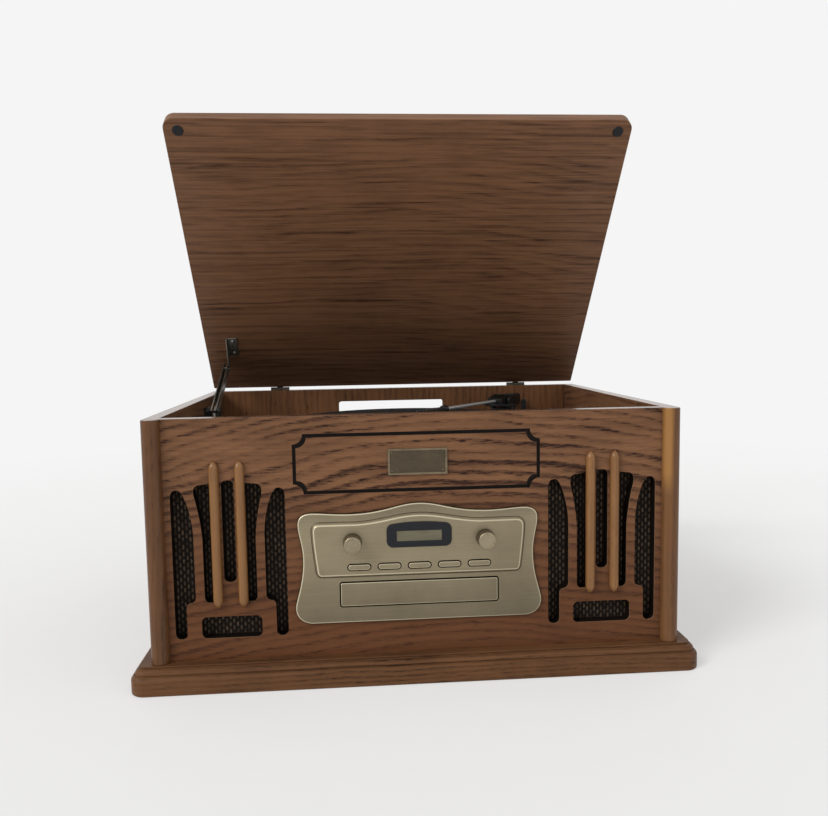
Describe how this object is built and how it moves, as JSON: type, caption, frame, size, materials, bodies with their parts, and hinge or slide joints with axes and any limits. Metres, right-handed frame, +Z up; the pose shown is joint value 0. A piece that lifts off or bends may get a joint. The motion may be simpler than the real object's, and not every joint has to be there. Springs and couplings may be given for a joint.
{
  "type": "music center",
  "caption": "Tabletop wooden music center: record player under a hinged lid, disc drawer, display, knobs and buttons in a shaped metal front plate, cloth grilles either side, moulded plinth.",
  "frame": {"origin": "on the floor, under the middle of the case", "axes": "+X to the object's right side as seen from the front, -Y towards the front, +Z up"},
  "size_m": [0.536, 0.4024, 0.5585],
  "materials": {
    "cabinet_wood": "satin lacquer",
    "bar_wood": "gloss lacquer",
    "inner_wood": "matt stain",
    "lid_wood": "satin lacquer",
    "grille_cloth": "woven",
    "speaker_steel": "satin",
    "magnet_iron": "matt",
    "cone_paper": "pressed paper",
    "plaque": "aged metal",
    "cast_bronze": "brushed bronze lacquer",
    "display_black": "gloss",
    "display_glass": "clear window over a grey display",
    "circuit_board": "solder mask",
    "black_plastic": "fine texture",
    "sheet_steel": "zinc plated",
    "deck_black": "satin",
    "bearing_brass": "turned",
    "motor_steel": "plated",
    "belt_rubber": "matt",
    "platter_alloy": "turned",
    "mat_rubber": "ribbed",
    "arm_black": "gloss",
    "bumper_rubber": "matt",
    "hinge_steel": "nickel plated",
    "stay_steel": "nickel plated",
    "stay_black": "satin"
  },
  "bodies": {
    "case": {"plinth": "cabinet_wood", "bottom_board": "inner_wood", "left_side": "cabinet_wood", "right_side": "cabinet_wood", "front_board": "cabinet_wood", "back_board": "inner_wood", "corner_posts": "cabinet_wood", "grille_bars": "bar_wood", "grille_cloths": "grille_cloth", "speaker_frames": "speaker_steel", "speaker_magnets": "magnet_iron", "name_plate": "plaque", "front_plate": "cast_bronze", "display_bezel": "display_black", "display_window": "display_glass", "control_board": "circuit_board", "loader_base": "sheet_steel", "loader_cover": "sheet_steel", "main_board": "circuit_board", "transformer": "sheet_steel", "socket_panel": "black_plastic", "deck_rails": "inner_wood", "deck_board": "deck_black", "platter_bearing": "bearing_brass", "deck_motor": "motor_steel", "drive_belt": "belt_rubber", "arm_base": "arm_black", "arm_rest": "arm_black", "cue_base": "arm_black", "hinge_case_leaves": "hinge_steel", "stay_wall_bracket": "stay_black"},
    "lid": {"lid": "lid_wood", "lid_bumpers": "bumper_rubber", "hinge_lid_leaves": "hinge_steel", "stay_lid_bracket": "stay_black"},
    "stay": {"stay_arm": "stay_steel"},
    "platter": {"spindle": "platter_alloy", "platter": "platter_alloy", "platter_mat": "mat_rubber"},
    "pulley": {"motor_pulley": "bearing_brass"},
    "yoke": {"arm_yoke": "arm_black"},
    "arm": {"tonearm": "arm_black", "headshell": "arm_black", "counterweight": "arm_black"},
    "cue_lever": {"cue_lever": "arm_black"},
    "cue_platform": {"cue_platform": "arm_black"},
    "speed_knob": {"speed_knob": "arm_black"},
    "single_adapter": {"single_adapter": "platter_alloy"},
    "volume_knob": {"volume_knob": "cast_bronze"},
    "tuning_knob": {"tuning_knob": "cast_bronze"},
    "drawer": {"drawer_front": "cast_bronze", "disc_tray": "black_plastic"},
    "disc_hub": {"disc_hub": "black_plastic"},
    "left_cone": {"left_cone": "cone_paper"},
    "right_cone": {"right_cone": "cone_paper"},
    "button_1": {"button_1": "cast_bronze"},
    "button_2": {"button_2": "cast_bronze"},
    "button_3": {"button_3": "cast_bronze"},
    "button_4": {"button_4": "cast_bronze"},
    "button_5": {"button_5": "cast_bronze"}
  },
  "joints": [
    {"name": "lid_hinge", "type": "hinge", "parent": "case", "child": "lid", "pos_m": [0, 0.1891, 0.2526], "axis": [1, 0, 0], "range_deg": [0, 50]},
    {"name": "stay_pivot", "type": "hinge", "parent": "lid", "child": "stay", "pos_m": [-0.225, 0.14739, 0.28457], "axis": [1, 0, 0], "range_deg": [-75, 0]},
    {"name": "platter_spin", "type": "hinge", "parent": "case", "child": "platter", "pos_m": [0, 0.0005, 0.206], "axis": [0, 0, 1], "continuous": true},
    {"name": "pulley_spin", "type": "hinge", "parent": "case", "child": "pulley", "pos_m": [-0.0792, -0.0787, 0.206], "axis": [0, 0, 1], "continuous": true},
    {"name": "arm_swing", "type": "hinge", "parent": "case", "child": "yoke", "pos_m": [0.13707, 0.1225, 0.206], "axis": [0, 0, 1], "range_deg": [-2, 43]},
    {"name": "arm_lift", "type": "hinge", "parent": "yoke", "child": "arm", "pos_m": [0.13707, 0.1225, 0.236], "axis": [-0.8339, 0.5519, 0], "range_deg": [-0.3, 8]},
    {"name": "cue_lever_turn", "type": "hinge", "parent": "case", "child": "cue_lever", "pos_m": [0.15437, 0.0645, 0.212], "axis": [-1, 0, 0], "range_deg": [-1, 55]},
    {"name": "cue_lift", "type": "slide", "parent": "case", "child": "cue_platform", "axis": [0, 0, 1], "range_m": [0, 0.00125]},
    {"name": "speed_turn", "type": "hinge", "parent": "case", "child": "speed_knob", "pos_m": [0.19, -0.1275, 0.206], "axis": [0, 0, 1], "range_deg": [-30, 30]},
    {"name": "adapter_lift", "type": "slide", "parent": "case", "child": "single_adapter", "axis": [0, 0, 1], "range_m": [0, 0.03]},
    {"name": "volume_turn", "type": "hinge", "parent": "case", "child": "volume_knob", "pos_m": [-0.062, -0.1915, 0.1341], "axis": [0, 1, 0], "range_deg": [-150, 150]},
    {"name": "tuning_turn", "type": "hinge", "parent": "case", "child": "tuning_knob", "pos_m": [0.062, -0.1915, 0.1341], "axis": [0, 1, 0], "continuous": true},
    {"name": "press_1", "type": "slide", "parent": "case", "child": "button_1", "axis": [0, 1, 0], "range_m": [0, 0.0012], "stiffness_N_per_m": 300, "springref_m": -0.001},
    {"name": "press_2", "type": "slide", "parent": "case", "child": "button_2", "axis": [0, 1, 0], "range_m": [0, 0.0012], "stiffness_N_per_m": 300, "springref_m": -0.001},
    {"name": "press_3", "type": "slide", "parent": "case", "child": "button_3", "axis": [0, 1, 0], "range_m": [0, 0.0012], "stiffness_N_per_m": 300, "springref_m": -0.001},
    {"name": "press_4", "type": "slide", "parent": "case", "child": "button_4", "axis": [0, 1, 0], "range_m": [0, 0.0012], "stiffness_N_per_m": 300, "springref_m": -0.001},
    {"name": "press_5", "type": "slide", "parent": "case", "child": "button_5", "axis": [0, 1, 0], "range_m": [0, 0.0012], "stiffness_N_per_m": 300, "springref_m": -0.001},
    {"name": "drawer_slide", "type": "slide", "parent": "case", "child": "drawer", "axis": [0, -1, 0], "range_m": [0, 0.13]},
    {"name": "hub_spin", "type": "hinge", "parent": "case", "child": "disc_hub", "pos_m": [0, -0.1119, 0.0687], "axis": [0, 0, 1], "continuous": true},
    {"name": "left_cone_move", "type": "slide", "parent": "case", "child": "left_cone", "axis": [0, 1, 0], "range_m": [-0.0015, 0.0015], "stiffness_N_per_m": 1500},
    {"name": "right_cone_move", "type": "slide", "parent": "case", "child": "right_cone", "axis": [0, 1, 0], "range_m": [-0.0015, 0.0015], "stiffness_N_per_m": 1500}
  ],
  "couplings": [
    {"joint": "stay_pivot", "follows": "lid_hinge", "ratio": -1.418},
    {"joint": "pulley_spin", "follows": "platter_spin", "ratio": 13},
    {"joint": "arm_lift", "follows": "cue_lift", "rad_per_m": 24},
    {"joint": "cue_lever_turn", "follows": "cue_lift", "rad_per_m": 698}
  ]
}
